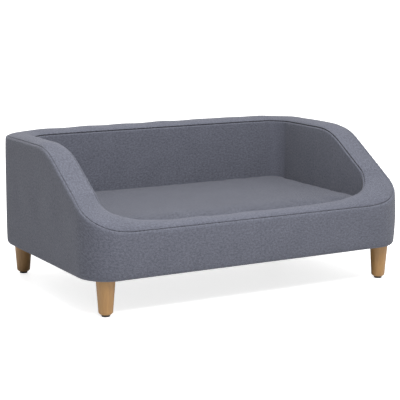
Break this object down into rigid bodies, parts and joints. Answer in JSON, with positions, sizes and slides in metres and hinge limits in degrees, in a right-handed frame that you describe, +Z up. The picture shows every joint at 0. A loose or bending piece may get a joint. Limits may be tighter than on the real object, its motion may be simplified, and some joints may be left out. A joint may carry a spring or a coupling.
{
  "type": "pet sofa bed",
  "caption": "Low pet sofa with a plywood frame, upholstered back, arms that slope to a low front rail, turned wooden legs and a loose zipped cushion.",
  "frame": {"origin": "on the floor under the middle of the plan, level with the glides' undersides", "axes": "+Z up, +X to the sitter's left, which is the viewer's right from the front, and -Y out of the open front"},
  "size_m": [0.98, 0.616, 0.405],
  "materials": {
    "melange_fabric": "woven, matt",
    "black_nonwoven": "matt",
    "foam": "open cell",
    "fibre_filling": "soft",
    "leg_wood": "clear matt lacquer",
    "plywood": "raw",
    "softwood": "raw",
    "zinc_steel": "zinc plated",
    "glide_plastic": "matt",
    "zip_cloth": "woven tape",
    "zip_plastic": "satin",
    "zip_metal": "satin"
  },
  "bodies": {
    "root": {"base_panel": "plywood", "front_board": "plywood", "back_board": "plywood", "left_board": "plywood", "right_board": "plywood", "corner_block_front_left": "softwood", "corner_block_front_right": "softwood", "corner_block_back_left": "softwood", "corner_block_back_right": "softwood", "frame_screws": "zinc_steel", "leg_t_nuts": "zinc_steel", "left_arm_foam": "foam", "right_arm_foam": "foam", "back_foam": "foam", "front_foam": "foam", "outer_cover": "melange_fabric", "top_band": "melange_fabric", "inner_lining": "melange_fabric", "deck_cloth": "black_nonwoven", "dust_cover": "black_nonwoven", "cover_staples": "zinc_steel"},
    "cushion": {"cushion_fill": "fibre_filling", "cushion_top_cover": "melange_fabric", "cushion_base_cover": "melange_fabric", "zip_tape": "zip_cloth", "zip_coil": "zip_plastic"},
    "zip_slider": {"zip_slider": "zip_metal"},
    "zip_pull": {"zip_pull": "zip_metal"},
    "leg_front_left": {"leg_front_left": "leg_wood", "leg_bolt_front_left": "zinc_steel", "glide_front_left": "glide_plastic"},
    "leg_front_right": {"leg_front_right": "leg_wood", "leg_bolt_front_right": "zinc_steel", "glide_front_right": "glide_plastic"},
    "leg_back_left": {"leg_back_left": "leg_wood", "leg_bolt_back_left": "zinc_steel", "glide_back_left": "glide_plastic"},
    "leg_back_right": {"leg_back_right": "leg_wood", "leg_bolt_back_right": "zinc_steel", "glide_back_right": "glide_plastic"}
  },
  "joints": [
    {"name": "cushion_lift", "type": "slide", "parent": "root", "child": "cushion", "axis": [0, 0, 1], "range_m": [0, 0.3]},
    {"name": "zip_travel", "type": "slide", "parent": "cushion", "child": "zip_slider", "axis": [1, 0, 0], "range_m": [0, 0.54]},
    {"name": "zip_pull_swing", "type": "hinge", "parent": "zip_slider", "child": "zip_pull", "pos_m": [-0.27, 0.2288, 0.15], "axis": [0, 1, 0], "range_deg": [-85, 85]},
    {"name": "leg_front_left_screw", "type": "hinge", "parent": "root", "child": "leg_front_left", "pos_m": [-0.429, -0.265, 0.094], "axis": [0, 0, -1], "range_deg": [0, 360]},
    {"name": "leg_front_right_screw", "type": "hinge", "parent": "root", "child": "leg_front_right", "pos_m": [0.429, -0.265, 0.094], "axis": [0, 0, -1], "range_deg": [0, 360]},
    {"name": "leg_back_left_screw", "type": "hinge", "parent": "root", "child": "leg_back_left", "pos_m": [-0.429, 0.265, 0.094], "axis": [0, 0, -1], "range_deg": [0, 360]},
    {"name": "leg_back_right_screw", "type": "hinge", "parent": "root", "child": "leg_back_right", "pos_m": [0.429, 0.265, 0.094], "axis": [0, 0, -1], "range_deg": [0, 360]}
  ]
}
